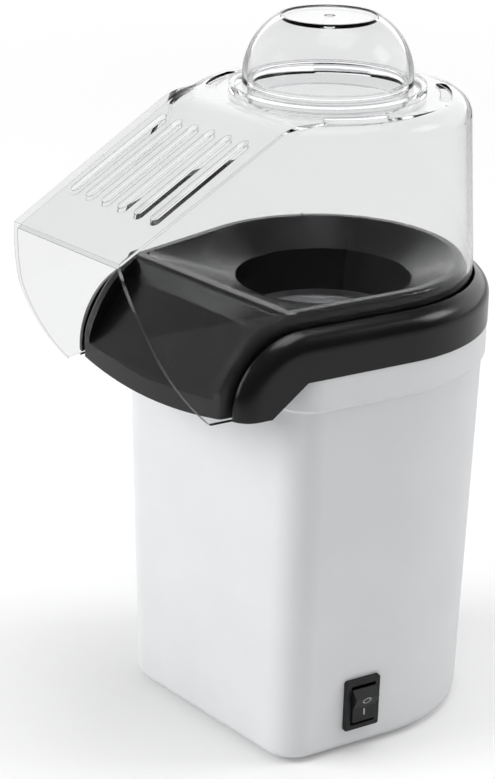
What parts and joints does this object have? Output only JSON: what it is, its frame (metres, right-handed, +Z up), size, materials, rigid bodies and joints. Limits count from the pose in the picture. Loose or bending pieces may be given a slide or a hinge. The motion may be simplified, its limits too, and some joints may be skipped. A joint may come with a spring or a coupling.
{
  "type": "hot-air popcorn maker",
  "caption": "Hot-air popcorn maker: tapered white body, black funnel deck with a chute, clear lift-off hood and an upturned measuring cup on top.",
  "frame": {"origin": "middle of the overall outline, at the level of the table", "axes": "+Z up, -Y to the front where the chute points, +X to the side with the switch"},
  "size_m": [0.1244, 0.1794, 0.268],
  "materials": {
    "white_plastic": "smooth moulded ABS with a soft gloss",
    "black_plastic": "semi-gloss moulded, finely grained",
    "clear_plastic": "clear polycarbonate",
    "chamber_aluminium": "spun, satin",
    "sheet_steel": "zinc-plated sheet",
    "screw_steel": "zinc plated",
    "heater_wire": "oxidised resistance wire",
    "mica": "pressed mica sheet",
    "fuse_ceramic": "matt ceramic",
    "rubber": "matt",
    "gasket_silicone": "silicone",
    "fan_plastic": "heat-proof moulded plastic",
    "motor_iron": "laminated iron",
    "magnet": "ferrite",
    "brass": "plain",
    "board": "phenolic board",
    "switch_plastic": "fine matt grain"
  },
  "bodies": {
    "base": {"body_shell": "white_plastic", "base_plate": "black_plastic", "rubber_feet": "rubber", "base_screws": "screw_steel", "top_bezel": "black_plastic", "deck": "black_plastic", "deck_screws": "screw_steel", "popping_chamber": "chamber_aluminium", "chamber_gasket": "gasket_silicone", "heater_housing": "sheet_steel", "mica_boards": "mica", "heater_coil": "heater_wire", "thermostat": "sheet_steel", "thermal_fuse": "fuse_ceramic", "fan_housing": "fan_plastic", "housing_screws": "screw_steel", "motor_bracket": "sheet_steel", "bracket_screws": "screw_steel", "motor_can": "sheet_steel", "motor_end_cap": "fan_plastic", "motor_bushes": "brass", "motor_magnets": "magnet", "rectifier_board": "board", "rectifier_diodes": "switch_plastic", "switch_housing": "switch_plastic", "switch_terminals": "brass", "cord_inlet": "black_plastic", "cord_clamp": "fan_plastic", "clamp_screws": "screw_steel"},
    "rotor": {"motor_shaft": "screw_steel", "motor_armature": "motor_iron", "impeller": "fan_plastic"},
    "switch_rocker": {"rocker": "switch_plastic"},
    "clear_hood": {"hood": "clear_plastic"},
    "cup": {"measuring_cup": "clear_plastic"}
  },
  "joints": [
    {"name": "hood_lift", "type": "slide", "parent": "base", "child": "clear_hood", "axis": [0, 0, 1], "range_m": [0, 0.1]},
    {"name": "cup_lift", "type": "slide", "parent": "clear_hood", "child": "cup", "axis": [0, 0, 1], "range_m": [0, 0.08]},
    {"name": "rocker_tilt", "type": "hinge", "parent": "base", "child": "switch_rocker", "pos_m": [0.05234, 0.00365, 0.02054], "axis": [0.165, 0.9863, 0], "range_deg": [-24, 0]},
    {"name": "fan_spin", "type": "hinge", "parent": "base", "child": "rotor", "pos_m": [0, 0.0275, 0.04], "axis": [0, 0, 1], "continuous": true}
  ]
}
